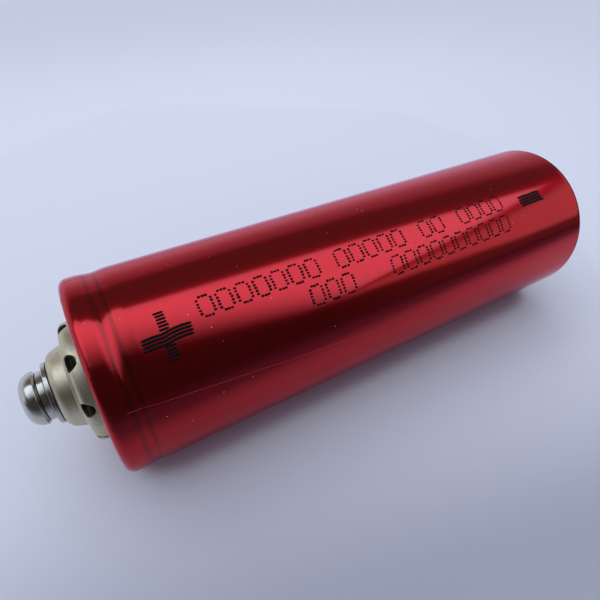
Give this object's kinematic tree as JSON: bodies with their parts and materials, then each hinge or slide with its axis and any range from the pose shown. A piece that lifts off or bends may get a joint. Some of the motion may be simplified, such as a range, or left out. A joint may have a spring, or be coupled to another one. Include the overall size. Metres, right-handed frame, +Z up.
{
  "type": "cylindrical battery cell",
  "caption": "Cylindrical rechargeable cell in a glossy red film sleeve, with a vented positive cap and screw terminals for bus bars at both ends.",
  "frame": {"origin": "on the cell's axis, at the middle of the sleeved barrel's length, with the cell lying on its side", "axes": "X along the cell's axis with the positive terminal towards -X, +Z up; the barrel rests on a floor 19 mm below the origin"},
  "size_m": [0.1402, 0.038, 0.038],
  "materials": {
    "red_film": "mirror-glossy translucent metallic red shrink film, printed in black",
    "nickel_steel": "nickel-plated deep-drawn steel, satin",
    "nickel_cap": "matte warm nickel plating on pressed steel",
    "polished_steel": "polished stainless steel",
    "white_fibre": "matte fibre board",
    "clear_plastic": "milky polypropylene",
    "aluminium_foil": "bright rolled aluminium",
    "phosphate_coating": "matte dark grey coating on foil",
    "graphite_coating": "matte graphite coating on foil",
    "separator_film": "thin milky film",
    "blue_tape": "blue polyester tape",
    "copper": "bright rolled copper"
  },
  "bodies": {
    "cell": {"sleeve": "red_film", "can": "nickel_steel", "terminal_insulator_ring": "white_fibre", "crimp_gasket": "clear_plastic", "positive_cap": "nickel_cap", "positive_weld_nut": "nickel_steel", "vent_disc": "aluminium_foil", "vent_insulator": "clear_plastic", "positive_weld_plate": "aluminium_foil", "positive_tab": "aluminium_foil", "positive_collector_disc": "aluminium_foil", "top_insulator_disc": "clear_plastic", "cathode_sheet": "phosphate_coating", "anode_sheet": "graphite_coating", "inner_separator": "separator_film", "outer_separator": "separator_film", "roll_tape": "blue_tape", "core_tube": "nickel_steel", "negative_collector_disc": "copper", "bottom_insulator_ring": "clear_plastic", "negative_post": "nickel_cap", "negative_weld_nut": "nickel_steel"},
    "positive_washers": {"positive_flat_washer": "polished_steel", "positive_spring_washer": "polished_steel"},
    "positive_screw": {"positive_screw": "polished_steel"},
    "negative_washers": {"negative_flat_washer": "polished_steel", "negative_spring_washer": "polished_steel"},
    "negative_screw": {"negative_screw": "polished_steel"}
  },
  "joints": [
    {"name": "positive_lift", "type": "slide", "parent": "cell", "child": "positive_washers", "axis": [-1, 0, 0], "range_m": [0, 0.003]},
    {"name": "positive_turn", "type": "hinge", "parent": "positive_washers", "child": "positive_screw", "pos_m": [-0.066, 0, 0], "axis": [-1, 0, 0], "range_deg": [0, 1080]},
    {"name": "negative_lift", "type": "slide", "parent": "cell", "child": "negative_washers", "axis": [1, 0, 0], "range_m": [0, 0.003]},
    {"name": "negative_turn", "type": "hinge", "parent": "negative_washers", "child": "negative_screw", "pos_m": [0.066, 0, 0], "axis": [1, 0, 0], "range_deg": [0, 1080]}
  ],
  "couplings": [
    {"joint": "positive_turn", "follows": "positive_lift", "rad_per_m": 6283.2},
    {"joint": "negative_turn", "follows": "negative_lift", "rad_per_m": 6283.2}
  ]
}
